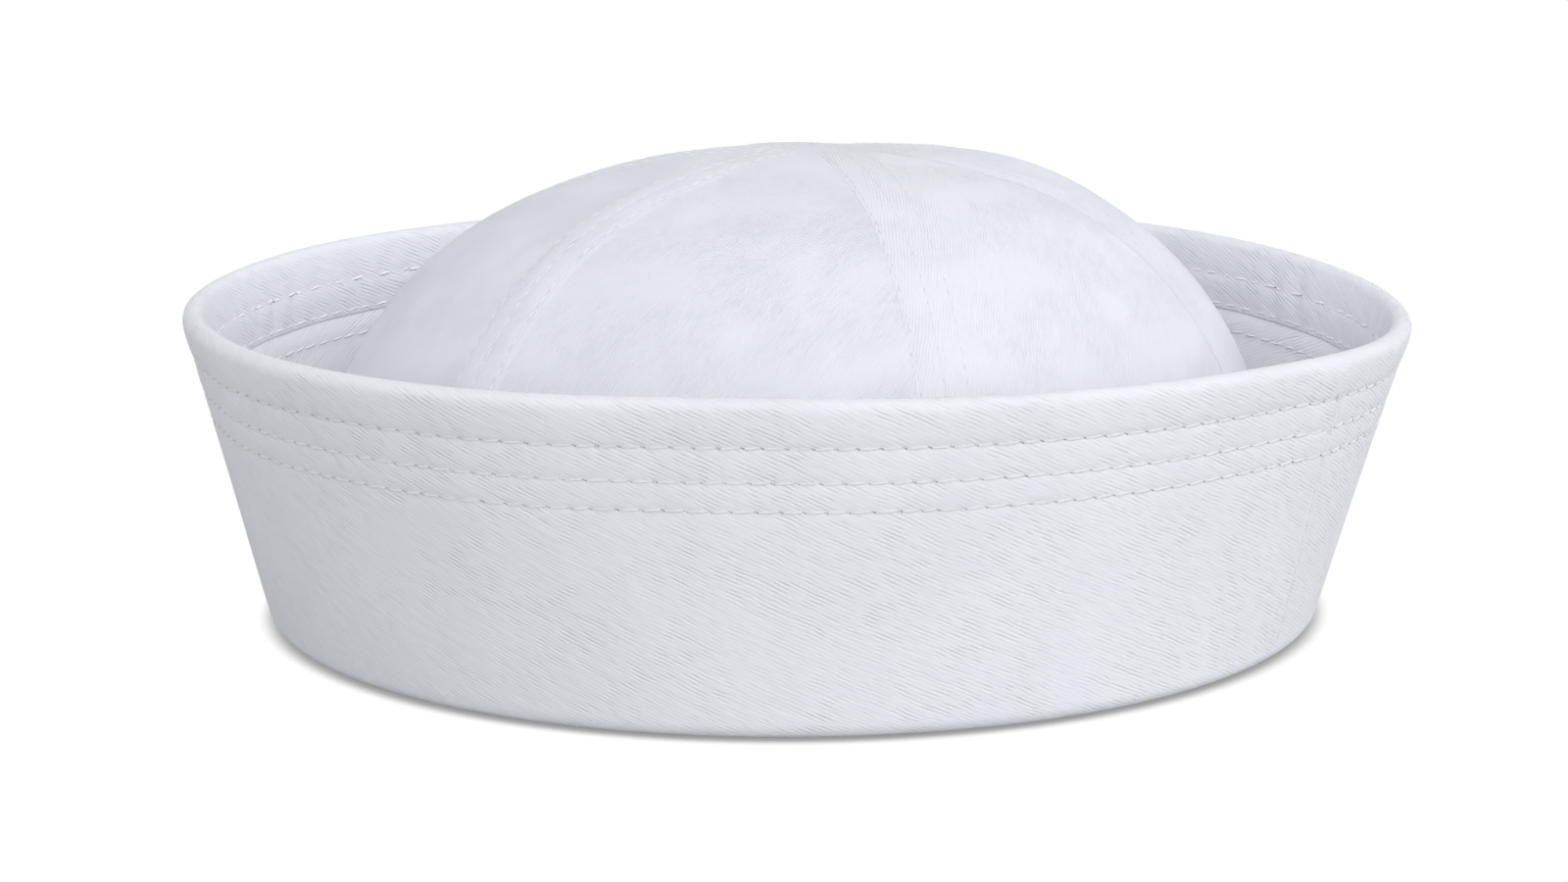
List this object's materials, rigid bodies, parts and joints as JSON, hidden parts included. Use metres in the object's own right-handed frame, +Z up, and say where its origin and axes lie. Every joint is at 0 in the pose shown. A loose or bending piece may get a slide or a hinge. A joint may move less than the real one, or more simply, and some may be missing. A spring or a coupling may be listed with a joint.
{
  "type": "sailor cap",
  "caption": "White cotton twill sailor cap: a round crown of gores inside an upturned, stitched brim.",
  "frame": {"origin": "middle of the whole cap in plan, on the surface that it stands on", "axes": "+Z up, from the brim's base fold to the crown's top; +X and +Y are level, with the brim's back seam about 63 degrees from -Y towards +X"},
  "size_m": [0.2275, 0.2021, 0.0858],
  "materials": {
    "brim_twill": "matt white cotton twill, pressed, with fine diagonal ribs and sewn rows",
    "brim_lining_ply": "matt white cotton twill, the brim's second layer",
    "crown_twill": "matt white cotton twill with fine diagonal ribs and felled seams"
  },
  "bodies": {
    "root": {"brim_outer": "brim_twill", "brim_inner": "brim_lining_ply", "crown_gore_1": "crown_twill", "crown_gore_2": "crown_twill", "crown_gore_3": "crown_twill", "crown_gore_4": "crown_twill", "crown_gore_5": "crown_twill", "crown_gore_6": "crown_twill"}
  },
  "joints": []
}
